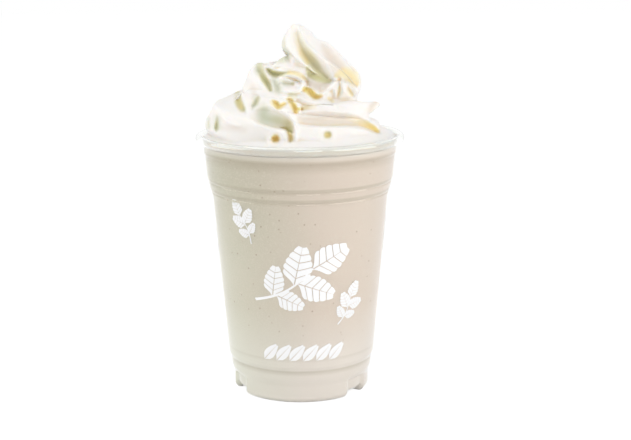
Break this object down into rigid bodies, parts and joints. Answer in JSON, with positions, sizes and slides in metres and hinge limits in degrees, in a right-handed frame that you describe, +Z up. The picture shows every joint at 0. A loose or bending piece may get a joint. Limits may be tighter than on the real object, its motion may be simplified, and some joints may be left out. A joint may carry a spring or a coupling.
{
  "type": "mint cream smoothie",
  "caption": "Pale mint cream smoothie in a clear flared cup with a curled lip and notched foot, heaped with a piped swirl of whipped cream.",
  "frame": {"origin": "centre of the circle that the cup stands on, at the height of the table", "axes": "+Z up along the cup's axis, +X to the viewer's right, -Y towards the viewer"},
  "size_m": [0.098, 0.098, 0.1726],
  "materials": {
    "clear_cup": "clear thermoformed sheet, smooth and glossy",
    "smoothie": "cold opaque blended drink with fine specks",
    "whipped_cream": "soft satin whipped cream"
  },
  "bodies": {
    "root": {"cup": "clear_cup", "smoothie": "smoothie", "whipped_cream": "whipped_cream"}
  },
  "joints": []
}
